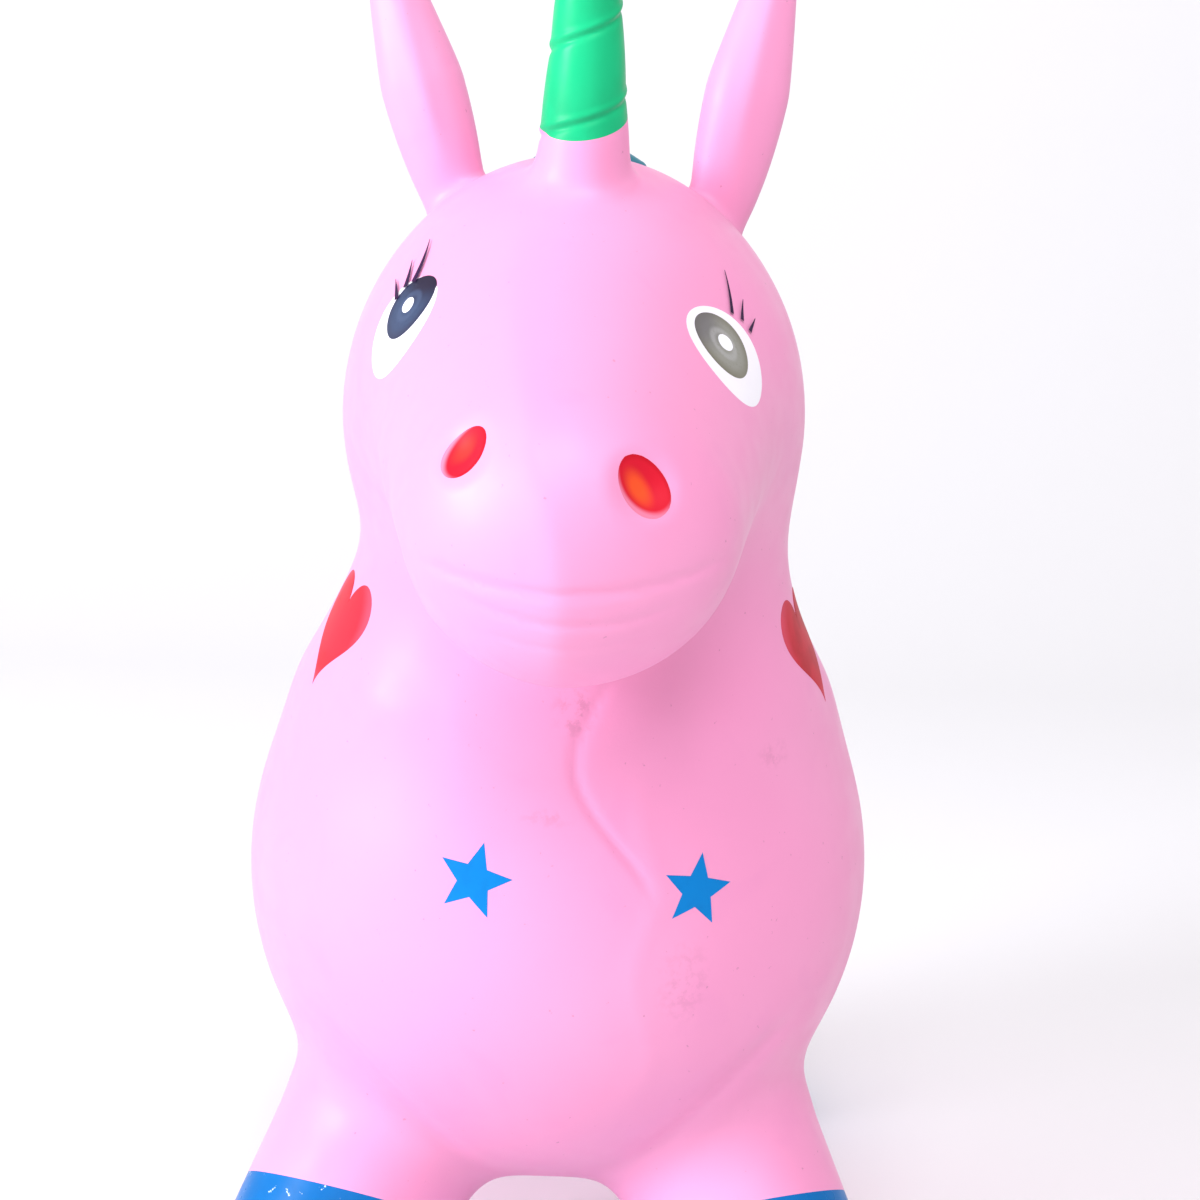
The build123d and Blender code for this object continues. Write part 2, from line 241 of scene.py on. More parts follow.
def leg_form(p, rear):
    """A plump leg cut flat at the floor. The rear pair mirrors the front, a little closer in."""
    y = 2 * LEG_MIRROR_Y - p[..., 1] if rear else p[..., 1]
    q = np.stack([p[..., 0] + REAR_INSET * rear, y, p[..., 2]], -1)
    return np.maximum(round_cone(q, HIP, FOOT, HIP_RADIUS, FOOT_RADIUS), -p[..., 2])


def skin(p):
    """The whole animal: body, head and legs are alike on both sides, the rest is not."""
    q = p.copy()
    q[..., 0] = np.abs(q[..., 0])
    f = melt(trunk_form(q), head_form(q), NECK_MELT)
    f = f + face_detail(p) + body_detail(p)
    f = melt(f, leg_form(q, False), LEG_MELT)
    f = melt(f, leg_form(q, True), LEG_MELT)
    f = melt(f, ear_form(p), EAR_MELT)
    f = melt(f, horn_form(p), HORN_MELT)
    return melt(f, round_cone(p, *TAIL), TAIL_MELT)


def gradient(p, field=skin, step=0.0004):
    """The outward direction of a field at each point, and its raw slope."""
    parts = []
    for k in range(3):
        e = np.zeros(3)
        e[k] = step
        parts.append(field(p + e) - field(p - e))
    g = np.stack(parts, -1) / (2 * step)
    return g / np.maximum((g * g).sum(-1, keepdims=True), 1e-9) ** 0.5, g


def settle(p, field=skin, rounds=4):
    """Moves points onto the field's zero level along its slope."""
    for _ in range(rounds):
        n, g = gradient(p, field)
        slope = np.maximum(np.linalg.norm(g, axis=-1), 0.35)
        p = p - n * np.clip(field(p) / slope, -0.003, 0.003)[:, None]
    return p


# ---- Mesh making ------------
def new_mesh(name, points, faces, normals=None):
    mesh = bpy.data.meshes.new(name)
    mesh.from_pydata([tuple(v) for v in points], [], [tuple(int(i) for i in f) for f in faces])
    mesh.validate()
    mesh.polygons.foreach_set("use_smooth", [True] * len(mesh.polygons))
    if normals is not None and len(normals) == len(mesh.vertices):
        mesh.normals_split_custom_set_from_vertices([tuple(n) for n in normals])
    rest = mesh.attributes.new("rest", "FLOAT_VECTOR", "POINT")
    rest.data.foreach_set("vector", np.asarray(points, np.float32).ravel())
    obj = bpy.data.objects.new(name, mesh)
    bpy.context.collection.objects.link(obj)
    return obj


def voxel_quads(field, low, high, size):
    low = np.array(low)
    count = np.ceil((np.array(high) - low) / size).astype(int) + 1
    axes = [low[k] + size * np.arange(count[k]) for k in range(3)]
    grid_points = np.stack(np.meshgrid(*axes, indexing="ij"), -1)
    values = np.stack([field(layer) for layer in grid_points])
    grid = openvdb.FloatGrid(1.0)
    grid.transform = openvdb.createLinearTransform(voxelSize=size)
    grid.copyFromArray(values.astype(np.float32))
    points, quads = grid.convertToQuads(isovalue=0.0)
    return points + low, quads


def refine(points, faces):
    """One level of smooth subdivision."""
    mesh = bpy.data.meshes.new("work")
    mesh.from_pydata([tuple(v) for v in points], [], [tuple(int(i) for i in f) for f in faces])
    work = bpy.data.objects.new("work", mesh)
    bpy.context.collection.objects.link(work)
    work.modifiers.new("fine", "SUBSURF").levels = 1
    fine = work.evaluated_get(bpy.context.evaluated_depsgraph_get()).to_mesh()
    co = np.zeros(len(fine.vertices) * 3)
    fine.vertices.foreach_get("co", co)
    out = co.reshape(-1, 3), [tuple(f.vertices) for f in fine.polygons]
    bpy.data.objects.remove(work)
    bpy.data.meshes.remove(mesh)
    return out


def cut_holes(points, faces, holes):
    """Cuts the mesh open across each limb, at (point, outward axis, reach), and at the valve."""
    bm = bmesh.new()
    verts = [bm.verts.new(v) for v in points]
    for f in faces:
        bm.faces.new([verts[i] for i in f])
    for at, axis, reach in holes:
        at, axis = Vector(at), Vector(axis).normalized()

        def across(v):
            offset = v.co - at
            along = offset.dot(axis)
            return along, (offset - along * axis).length

        near = [f for f in bm.faces
                if all(a > -0.012 and r < reach for a, r in map(across, f.verts))]
        edges = {e for f in near for e in f.edges}
        corners = {v for f in near for v in f.verts}
        bmesh.ops.bisect_plane(bm, geom=near + list(edges) + list(corners), plane_co=at,
                               plane_no=axis, dist=1e-6)
        gone = []
        for f in bm.faces:
            centre = f.calc_center_median() - at
            along = centre.dot(axis)
            aside = (centre - along * axis).length
            if along > 0 and aside < reach:
                gone.append(f)
        bmesh.ops.delete(bm, geom=gone, context="FACES")
    axis = Vector(VALVE_AXIS)
    inside = []
    for f in bm.faces:
        offset = f.calc_center_median() - Vector(VALVE_AT)
        if offset.length < VALVE_NEAR and offset.cross(axis).length < VALVE_HOLE:
            inside.append(f)
    bmesh.ops.delete(bm, geom=inside, context="FACES")
    bm.verts.index_update()
    points = np.array([v.co for v in bm.verts])
    faces = [[v.index for v in f.verts] for f in bm.faces]
    bm.free()
    return points, faces


def keep_used(points, faces):
    """Drops the points that no face uses."""
    used = np.unique(np.concatenate([np.asarray(f) for f in faces]))
    renumber = np.full(len(points), -1)
    renumber[used] = np.arange(len(used))
    return points[used], [[renumber[i] for i in f] for f in faces]


MARCH_STEPS, HALVINGS = 90, 22      # first look outwards, then halve the step it was found in


def ring_points(centre, axis, side, count, reach, rise=None, field=skin):
    """The outline of the field across an axis, seen from a centre inside it. rise lifts the
    ring along the axis, by a distance for each of its points."""
    axis = unit(axis)
    side = unit(np.asarray(side) - axis * (np.asarray(side) @ axis))
    other = np.cross(axis, side)
    angle = 2 * math.pi * np.arange(count) / count
    way = np.cos(angle)[:, None] * side + np.sin(angle)[:, None] * other
    if rise is not None:
        centre = centre + axis * rise[:, None]
        start = centre[:, None, :]
    else:
        start = centre
    steps = np.linspace(0, reach, MARCH_STEPS)
    values = field(start + way[:, None, :] * steps[None, :, None])
    first = np.argmax(values > 0, axis=1)
    low, high = steps[np.maximum(first - 1, 0)], steps[first]
    for _ in range(HALVINGS):
        middle = (low + high) / 2
        inside = field(centre + way * middle[:, None]) < 0
        low, high = np.where(inside, middle, low), np.where(inside, high, middle)
    return centre + way * ((low + high) / 2)[:, None]


def tube_faces(rings, count, closed_top=True):
    """Quads between rings of points, and a fan from the last ring to a tip."""
    faces = []
    for r in range(rings - 1):
        for c in range(count):
            d = (c + 1) % count
            faces.append((r * count + c, r * count + d, (r + 1) * count + d, (r + 1) * count + c))
    if closed_top:
        tip = rings * count
        top = (rings - 1) * count
        faces += [(top + c, top + (c + 1) % count, tip) for c in range(count)]
    return faces


# ---- Trunk: torso and head in one skin, open where each limb begins ------------
TRUNK_VOXEL = 0.0046
TRUNK_BOX = ((-0.150, -0.285, -0.012), (0.150, 0.285, 0.625))
LEG_CUT = {"front": 0.010, "rear": 0.016}
EAR_CUT, HORN_CUT, TAIL_CUT = 0.030, 0.022, 0.031


def leg_place(point, end, side):
    """Where a point of the front left leg lies on any of the four legs."""
    x, y, z = point
    if end == "rear":
        x, y = x - REAR_INSET, 2 * LEG_MIRROR_Y - y
    return np.array([x * SIDES[side], y, z])


def leg_axis(end, side):
    return unit(leg_place(FOOT, end, side) - leg_place(HIP, end, side))


def ear_axis(side):
    return np.array([SIDES[side] * math.sin(EAR_TILT[side]), 0, math.cos(EAR_TILT[side])])


def ear_point(distance, side):
    return np.array(EAR_FOOT[side]) * (SIDES[side], 1, 1) + ear_axis(side) * distance


TAIL_AXIS = unit(np.subtract(TAIL[1], TAIL[0]))
VALVE_AT = np.array([0, 0.2137, 0.1206])
VALVE_AXIS = unit((0, 0.82, -0.57))
VALVE_HOLE, VALVE_NEAR = 0.0092, 0.03

HOLES = [(leg_place(HIP, e, s) + leg_axis(e, s) * LEG_CUT[e], leg_axis(e, s), 0.058)
         for e, s in LEGS]
HOLES += [(ear_point(EAR_CUT, s), ear_axis(s), 0.020) for s in SIDES]
HOLES += [(np.array(HORN[0]) + HORN_AXIS * HORN_CUT, HORN_AXIS, 0.030)]
HOLES += [(np.array(TAIL[0]) + TAIL_AXIS * TAIL_CUT, TAIL_AXIS, 0.020)]


def make_trunk():
    points, faces = voxel_quads(skin, *TRUNK_BOX, TRUNK_VOXEL)
    points, faces = refine(settle(points), faces)
    points, faces = cut_holes(settle(points), faces, HOLES)
    points, faces = keep_used(points, faces)
    normals, _ = gradient(points)
    trunk = new_mesh("skin_trunk", points, faces, normals)
    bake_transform(trunk)
    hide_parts("torso_skin", "head_skin")
    return trunk


# ---- Limbs ------------
def limb(name, node, centres, axes, side, reach, count, slot, bodies, start, end, tip=None,
         rises=None):
    """A tube of rings from the first centre to the last, closed at a tip if it has one."""
    rises = rises or [None] * len(centres)
    rings = [ring_points(np.asarray(c), a, side, count, reach, rise)
             for c, a, rise in zip(centres, axes, rises)]
    points = np.concatenate(rings)
    if tip is not None:
        points = np.vstack([points, tip])
    faces = tube_faces(len(rings), count, tip is not None)
    normals, _ = gradient(points)
    piece = new_mesh(name, points, faces, normals)
    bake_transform(piece)
    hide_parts(node)
    return piece


LEG_BEND_END = 0.048                    # distances down the leg from the hip
HOOF_LINE = 0.0304
HOOF_TILT = (0.206, -0.475, -0.856)     # what the hoof's paint line faces, on the front left leg
LEG_COUNT, LEG_REACH = 96, 0.075


def make_leg(end, side):
    """Pink shank, and a blue hoof ending in a flat sole that the animal stands on."""
    hip, axis = leg_place(HIP, end, side), leg_axis(end, side)
    paint_axis = unit(np.array(HOOF_TILT) * (SIDES[side], 1 if end == "front" else -1, 1))
    bodies = ("torso", f"{end}_{side}_leg")
    cut = LEG_CUT[end]
    bend = [tuple(hip + axis * d) for d in (cut, LEG_BEND_END)]
    along = np.linspace(cut, HOOF_LINE, 14)
    lean = fade(along, cut, HOOF_LINE)[:, None]
    shank = limb(f"shank_{end}_{side}", f"leg_{end}_{side}", [hip + axis * d for d in along],
                 list(axis * (1 - lean) + paint_axis * lean), (0, 1, 0), LEG_REACH,
                 LEG_COUNT, "pink_vinyl", bodies, *bend)
    # The hoof's rings lie flat at the sole and lean over to match the paint line at the top.
    foot = leg_place(FOOT, end, side)
    sole = np.array([foot[0], foot[1], 0.0008])
    top = hip + axis * HOOF_LINE
    share = np.linspace(0, 1, 22)
    centres = [top + (sole - top) * s for s in share]
    down = np.array([0, 0, -1.0])
    axes = [unit(paint_axis * (1 - s) + down * s) for s in fade(share, 0, 1)]
    rings = [ring_points(c, a, (0, 1, 0), LEG_COUNT, LEG_REACH) for c, a in zip(centres, axes)]
    outline = rings[-1]
    flat = [sole + (outline - sole) * s for s in (0.985, 0.955, 0.90, 0.70, 0.35)]
    for ring, height in zip(flat, (-0.0003, -0.0006, -0.0008, -0.0008, -0.0008)):
        ring[:, 2] = sole[2] + height
    points = np.concatenate(rings + flat + [[[sole[0], sole[1], 0.0]]])
    normals, _ = gradient(points)
    normals[len(rings) * LEG_COUNT:] = down
    hoof = new_mesh(f"painted_hoof_{end}_{side}", points,
                    tube_faces(len(rings) + len(flat), LEG_COUNT), normals)
    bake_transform(hoof)
    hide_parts(f"hoof_{end}_{side}")
    return shank, hoof


def make_ear(side):
    axis = ear_axis(side)
    low, high = EAR_CUT, EAR_LENGTH - 0.0004
    share = np.sin(np.linspace(0, math.pi / 2, 64))
    along = low + (high - low) * share
    tip = ear_point(EAR_LENGTH, side)
    return limb(f"soft_ear_{side}", f"ear_{side}", [ear_point(d, side) for d in along],
                [axis] * len(along), (1, 0, 0), 0.034, 72, "pink_vinyl", ("head", f"{side}_ear"),
                tuple(ear_point(EAR_CUT, side)), tuple(ear_point(0.064, side)), tip)


HORN_LENGTH = float(np.linalg.norm(np.subtract(HORN[1], HORN[0])))
HORN_COUNT = 96
PAINT_LOW, PAINT_CLIMB, PAINT_TURN = 0.0268, 0.0052, 0.42


def make_horn():
    """Pink root, and the green twist above a paint edge that climbs round the horn."""
    root, tip = np.array(HORN[0]), np.array(HORN[1]) + HORN_AXIS * HORN[3]
    last = HORN_LENGTH + HORN[3]
    turn = 2 * math.pi * np.arange(HORN_COUNT) / HORN_COUNT
    angle = turn + math.pi / 2     # rings start at the left side and run round by the back
    edge = PAINT_LOW + PAINT_CLIMB * (1 - np.cos(angle + PAINT_TURN))
    bend = tuple(root + HORN_AXIS * 0.024), tuple(root + HORN_AXIS * 0.050)

    def part(name, node, slot, shares, low, high, tip=None):
        rises = [low + (high - low) * s for s in shares]
        return limb(name, node, [root] * len(shares), [HORN_AXIS] * len(shares), HORN_SIDE, 0.034,
                    HORN_COUNT, slot, ("head", "horn"), *bend, tip, rises)

    base = part("horn_pink_base", "horn_base", "pink_vinyl", np.linspace(0, 1, 14), HORN_CUT, edge)
    near = np.linspace(0, 0.93, 150)
    cap = 0.93 + 0.0695 * np.sin(np.linspace(0.05, math.pi / 2, 16))
    top = part("horn_green_twist", "horn_tip", "horn_green", np.concatenate([near, cap]), edge,
               last, tip)
    return base, top


def make_tail():
    root, tip = np.array(TAIL[0]), np.array(TAIL[1]) + TAIL_AXIS * TAIL[3]
    length = float(np.linalg.norm(np.subtract(TAIL[1], TAIL[0])))
    near = np.linspace(TAIL_CUT, length, 14)
    cap = length + TAIL[3] * np.sin(np.linspace(0.08, math.pi / 2 - 0.05, 12))
    along = np.concatenate([near, cap])
    return limb("plump_tail", "tail", [root + TAIL_AXIS * d for d in along],
                [TAIL_AXIS] * len(along), (1, 0, 0), 0.030, 56, "mane_teal", ("torso", "tail_stub"),
                tuple(root + TAIL_AXIS * TAIL_CUT), tuple(root + TAIL_AXIS * 0.045), tip)


# ---- Mane: moulded locks that lie over the crown and down the back of the neck ------------
MANE_STEPS = 9
MANE_VOXEL = 0.0014
MANE_BOX = ((-0.034, -0.118, 0.345), (0.034, 0.016, 0.505))
MANE_MELT, MANE_SINK = 0.0022, 0.0010


def mane_locks():
    """Each lock is a round cone lying on the skin, thick end near the middle of the back."""
    locks = []
    for k in range(MANE_STEPS):
        share = k / (MANE_STEPS - 1)
        turn = math.radians(8 + 98 * share)
        way = np.array([0, math.sin(turn), math.cos(turn)])
        centre = np.array(CROWN[0]) + way * np.array([0, 0.0855, 0.0905])
        centre[2] -= 0.030 * max(0.0, share - 0.72) / 0.28
        along = np.array([0, math.cos(turn), -math.sin(turn)])
        for side in (-1, 1):
            spread = 0.0205 + 0.0025 * math.sin(2.4 * k + side)
            root = centre + np.array([side * 0.004, 0, 0]) - way * 0.0010
            tip = centre + np.array([side * spread, 0, 0]) + along * 0.013 - way * 0.0050
            locks.append((root, tip, 0.0072, 0.0028))
    return locks


def mane_form(p):
    """The locks melted together, down to just under the skin."""
    f = None
    for root, tip, thick, thin in mane_locks():
        lock = round_cone(p, root, tip, thick, thin)
        f = lock if f is None else melt(f, lock, MANE_MELT)
    return np.maximum(f, -(skin(p) + MANE_SINK))


def make_mane():
    points, faces = voxel_quads(mane_form, *MANE_BOX, MANE_VOXEL)
    points = settle(points, mane_form, 3)
    normals, _ = gradient(points, mane_form)
    mane = new_mesh("mane_locks", points, faces, normals)
    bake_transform(mane)
    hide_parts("mane")
    return mane


# ---- Painted marks: thin coats laid on the skin ------------
def tangent_frame(at, normal, lean):
    """Right and up directions on the skin at a mark. lean turns up towards right, in degrees."""
    normal = unit(normal)
    up = unit(np.array([0, 0, 1.0]) - normal * normal[2])
    right = np.cross(up, normal)
    a = math.radians(lean)
    return math.cos(a) * right - math.sin(a) * up, math.sin(a) * right + math.cos(a) * up, normal


def coat(name, node, at, normal, lean, outline, lift, rings=14):
    """A filled outline around a centre, laid on the skin and lifted a hair off it."""
    right, up, out = tangent_frame(at, normal, lean)
    at = np.asarray(at, float)
    outline = np.asarray(outline, float)
    middle = outline.mean(0)
    shares = np.arange(rings, 0, -1) / rings
    flat = [middle + (outline - middle) * s for s in shares]
    flat = np.vstack(flat + [middle[None]])
    points = drop(at + flat[:, :1] * right + flat[:, 1:] * up + out * 0.004, out)
    normals, _ = gradient(points)
    thickness = lift * np.ones(len(points))
    thickness[:len(outline)] = -COAT_TUCK
    points = points + normals * thickness[:, None]
    faces = tube_faces(rings, len(outline))
    piece = new_mesh(name, points, faces, normals)
    place = piece.data.attributes.new("place", "FLOAT_VECTOR", "POINT")
    flat = np.column_stack([flat, np.zeros(len(flat))]).astype(np.float32)
    place.data.foreach_set("vector", flat.ravel())
    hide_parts(node)
    return piece


def oval(width, height, count=72):
    """An egg shape, a little narrower at the top."""
    a = 2 * math.pi * np.arange(count) / count
    x, y = np.cos(a), np.sin(a)
    return np.column_stack([x * width / 2 * (1 - 0.06 * y), y * height / 2])


def star_outline(radius, count=16):
    corners = []
    for k in range(10):
        r = radius if k % 2 == 0 else radius * 0.44
        a = math.pi / 2 + k * math.pi / 5
        corners.append((r * math.cos(a), r * math.sin(a)))
    points = []
    for a, b in zip(corners, corners[1:] + corners[:1]):
        points += [np.array(a) + (np.array(b) - np.array(a)) * s for s in np.arange(count) / count]
    return np.array(points)


def heart_outline(width, height, count=120):
    a = 2 * math.pi * np.arange(count) / count
    x = np.sin(a) ** 3
    y = (13 * np.cos(a) - 5 * np.cos(2 * a) - 2 * np.cos(3 * a) - np.cos(4 * a)) / 16
    return np.column_stack([x * width / 2, y * height / 2])[::-1]


def brush_line(points, widths):
    """The middle line of a bent brush stroke, and the way from it to one edge."""
    points = np.asarray(points, float)
    t = np.linspace(0, 1, 20)
    line = np.array([(1 - s) ** 2 * points[0] + 2 * s * (1 - s) * points[1] + s * s * points[2]
                     for s in t])
    way = np.gradient(line, axis=0)
    way = way / np.linalg.norm(way, axis=1)[:, None]
    across = np.column_stack([-way[:, 1], way[:, 0]])
    width = np.interp(t, np.linspace(0, 1, len(widths)), widths)[:, None] / 2
    return line, across * width


def stroke(bent_line, widths, at, normal, lean, lift):
    """Points, faces and normals of one brush stroke on the skin."""
    line, offset = brush_line(bent_line, widths)
    right, up, out = tangent_frame(at, normal, lean)
    flat = np.concatenate([line + offset * s for s in (-1, 0, 1)])
    points = drop(np.asarray(at) + flat[:, :1] * right + flat[:, 1:] * up + out * 0.003, out)
    normals, _ = gradient(points)
    n = len(line)
    points = points + normals * lift
    faces = [(r * n + c, r * n + c + 1, (r + 1) * n + c + 1, (r + 1) * n + c)
             for r in range(2) for c in range(n - 1)]
    return points, faces, normals


def drop(points, out, rounds=40):
    """Moves points along one direction until they lie on the skin."""
    for _ in range(rounds):
        points = points - out * np.clip(skin(points), -0.008, 0.008)[:, None] * 0.8
    return points


def lathe(name, profile, at, axis, count=72):
    """A turned form: profile holds (radius, height) pairs along an axis through a point."""
    axis = unit(axis)
    side = unit(np.cross(axis, (1, 0, 0)))
    other = np.cross(axis, side)
    a = 2 * math.pi * np.arange(count) / count
    way = np.cos(a)[:, None] * side + np.sin(a)[:, None] * other
    points = np.concatenate([np.asarray(at) + way * r + axis * h for r, h in profile])
    faces = tube_faces(len(profile), count, False)
    return new_mesh(name, points, faces)


# ---- Eyes, nostrils, stars, hearts and saddle ------------
# Each eye: its place and outward direction; white, iris and glint as width, height, lean in degrees
# and shift; lashes as the root, bend and tip of a stroke, and its width.
EYE = {
    "right": dict(at=(-0.0610, -0.158, 0.4285), normal=(-0.72, -0.49, 0.50),
                  white=(0.0345, 0.0420, 14, (-0.0010, -0.0075)), iris=(0.0232, 0.0282, 24),
                  glint=(0.0066, 0.0070, (-0.0008, 0.0003)),
                  lashes=[((-0.0050, 0.0095), (-0.0062, 0.0200), (-0.0135, 0.0284), 0.0027),
                          ((-0.0085, 0.0070), (-0.0105, 0.0130), (-0.0150, 0.0185), 0.0026),
                          ((-0.0105, 0.0020), (-0.0140, 0.0060), (-0.0190, 0.0100), 0.0024)]),
    "left": dict(at=(0.0528, -0.1802, 0.4212), normal=(0.68, -0.45, 0.58),
                 white=(0.0390, 0.0420, -30, (0.0018, -0.0036)), iris=(0.0270, 0.0285, -20),
                 glint=(0.0085, 0.0076, (0.0012, 0.0004)),
                 lashes=[((0.0150, 0.0115), (0.0205, 0.0195), (0.0245, 0.0290), 0.0017),
                         ((0.0195, 0.0085), (0.0225, 0.0125), (0.0262, 0.0165), 0.0018),
                         ((0.0215, 0.0040), (0.0250, 0.0062), (0.0290, 0.0088), 0.0018)]),
}
# Each star: place, outward direction, radius, lean. Each heart: place, lean.
STAR = {"right": ((-0.0313, -0.175, 0.218), (-0.23, -0.97, 0.13), 0.0152, 12),
        "left": ((0.0526, -0.168, 0.215), (0.38, -0.92, 0.12), 0.0147, 10)}
HEART = {"right": ((-0.0885, -0.1125, 0.3020), 8), "left": ((0.0925, -0.1010, 0.2990), -6)}
HEART_SIZE = (0.044, 0.052)
SADDLE_RISE = 0.0017
SADDLE_CENTRE_Y, SADDLE_SIZE, SADDLE_SQUARENESS, SADDLE_COUNT = 0.084, (0.128, 0.122), 3.2, 160
COAT = 0.00022              # how far each painted coat stands off the one below it
COAT_TUCK = 0.00010         # how far a coat's edge is sunk into the skin


def make_eye(side):
    eye = EYE[side]
    at, normal = np.array(eye["at"]), eye["normal"]
    right, up, _ = tangent_frame(at, normal, 0)

    def place(dx, dy):
        return at + right * dx + up * dy

    w, h, lean, (dx, dy) = eye["white"]
    pieces = [coat(f"sclera_{side}", f"eye_white_{side}", place(dx, dy), normal, lean,
                   oval(w, h), COAT, 22)]
    w, h, lean = eye["iris"]
    pieces.append(coat(f"painted_iris_{side}", f"iris_{side}",
                       at, normal, lean,
                       oval(w, h), 2 * COAT, 18))
    w, h, (dx, dy) = eye["glint"]
    pieces.append(coat(f"glint_{side}", f"eye_glint_{side}", place(dx, dy), normal, 0,
                       oval(w, h, 40), 3 * COAT, 8))
    points, faces, normals, count = [], [], [], 0
    for root, bend, tip, width in eye["lashes"]:
        p, f, n = stroke((root, bend, tip), (width, width * 0.72, width * 0.42, 0.0003), at, normal,
                         0, 3.5 * COAT)
        points.append(p)
        normals.append(n)
        faces += [tuple(i + count for i in face) for face in f]
        count += len(p)
    lashes = new_mesh(f"lashes_{side}", np.concatenate(points), faces, np.concatenate(normals))
    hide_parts(f"eyelashes_{side}")
    pieces.append(lashes)
    for piece in pieces:
        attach(piece, "head")
    return pieces


def make_nostril(side):
    at, normal, half_height, half_width, lean = NOSTRILS[side]
    piece = coat(f"nostril_paint_{side}", f"nostril_{side}", at, normal, lean,
                 oval(2 * half_width, 2 * half_height), COAT, 20)
    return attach(piece, "head")


def make_star(side):
    at, normal, radius, lean = STAR[side]
    piece = coat(f"star_paint_{side}", f"star_{side}", at, normal, lean,
                 star_outline(radius), COAT, 16)
    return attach(piece, "torso")


def make_heart(side):
    at, lean = HEART[side]
    at = np.array([at])
    normal, _ = gradient(at)
    piece = coat(f"heart_paint_{side}", f"heart_{side}", at[0], normal[0], lean,
                 heart_outline(*HEART_SIZE), COAT, 26)
    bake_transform(piece)
    return piece


def make_saddle():
    """A saddle moulded a little proud of the back, painted as one coat."""
    a = 2 * math.pi * (np.arange(SADDLE_COUNT) + 0.5) / SADDLE_COUNT
    half = np.array(SADDLE_SIZE) / 2
    x = np.sign(np.cos(a)) * np.abs(np.cos(a)) ** (2 / SADDLE_SQUARENESS) * half[0]
    y = np.sign(np.sin(a)) * np.abs(np.sin(a)) ** (2 / SADDLE_SQUARENESS) * half[1]
    shares = np.concatenate([[1.0, 0.99, 0.975, 0.955, 0.93], np.linspace(0.90, 0.04, 36)])
    flat = np.concatenate([np.column_stack([x, y]) * s for s in shares] + [np.zeros((1, 2))])
    rise = np.interp(shares, (0.90, 0.955, 0.99, 1.0), (SADDLE_RISE, 0.0015, 0.0006, -0.0004))
    rise = np.concatenate([np.repeat(rise, SADDLE_COUNT), [SADDLE_RISE]])
    points = np.column_stack([flat[:, 0], flat[:, 1] + SADDLE_CENTRE_Y, np.full(len(flat), 0.31)])
    points = drop(points, np.array([0, 0, 1.0]), 60)
    normals, _ = gradient(points)
    faces = tube_faces(len(shares), SADDLE_COUNT)
    piece = new_mesh("moulded_saddle", points + normals * rise[:, None], faces)
    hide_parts("saddle")
    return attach(piece, "torso")


def make_valve():
    """A soft ring bonded to the skin, and the stopper with its finger tab, in millimetres."""
    mm, around = 0.001, 28
    ring = lathe("valve_ring", [(r * mm, h * mm) for r, h in (
        (13.2, -2.4), (13.2, -0.4), (12.9, 0.4), (12.2, 0.9), (11.2, 1.15), (9.6, 1.2), (8.9, 0.9),
        (8.2, 1.0), (6.4, 1.0), (5.5, 0.8), (5.05, 0.2), (5.0, -1.0), (5.0, -13.0), (5.6, -13.2),
        (7.2, -13.2), (7.5, -12.8), (7.5, -3.0))], VALVE_AT, VALVE_AXIS)
    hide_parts("valve_seat")
    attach(ring, "torso")
    stopper = lathe("valve_stopper", [(r * mm, h * mm) for r, h in (
        (0.05, -14.6), (2.6, -14.6), (3.4, -14.0), (4.2, -11.0), (4.7, -9.5), (4.7, -8.8),
        (4.1, -8.2), (4.1, -1.0), (4.7, 0.6), (4.9, 1.25), (7.9, 1.3), (8.4, 1.6), (8.5, 2.4),
        (8.2, 3.2), (7.4, 3.7), (5.0, 4.0), (2.0, 4.1), (0.05, 4.1))], VALVE_AT, VALVE_AXIS)
    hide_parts("valve_plug")
    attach(stopper, "plug")
    # The tab is a small rounded tongue standing on the stopper.
    side, up = np.array([1.0, 0, 0]), VALVE_AXIS
    thick = np.cross(side, up)
    rows, points = 13, []
    for k in range(rows):
        h = 3.8 + 6.0 * math.sin(math.pi / 2 * k / (rows - 1))
        wide = 2.5 * math.sqrt(max(1 - (max(h - 6.3, 0) / 3.55) ** 2, 0.0004)) + 0.35 * (k == 0)
        deep = (1.2 - 0.35 * (h - 3.8) / 6.0) * min(1, wide / 1.2)
        for a in 2 * math.pi * np.arange(around) / around:
            c, s = math.cos(a), math.sin(a)
            points.append(VALVE_AT + (side * wide * np.sign(c) * abs(c) ** 0.7
                                      + thick * deep * np.sign(s) * abs(s) ** 0.7 + up * h) * mm)
    points.append(VALVE_AT + up * 9.85 * mm)
    tab = new_mesh("stopper_tab", np.array(points), tube_faces(rows, around))
    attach(tab, "plug")
    return ring, stopper, tab


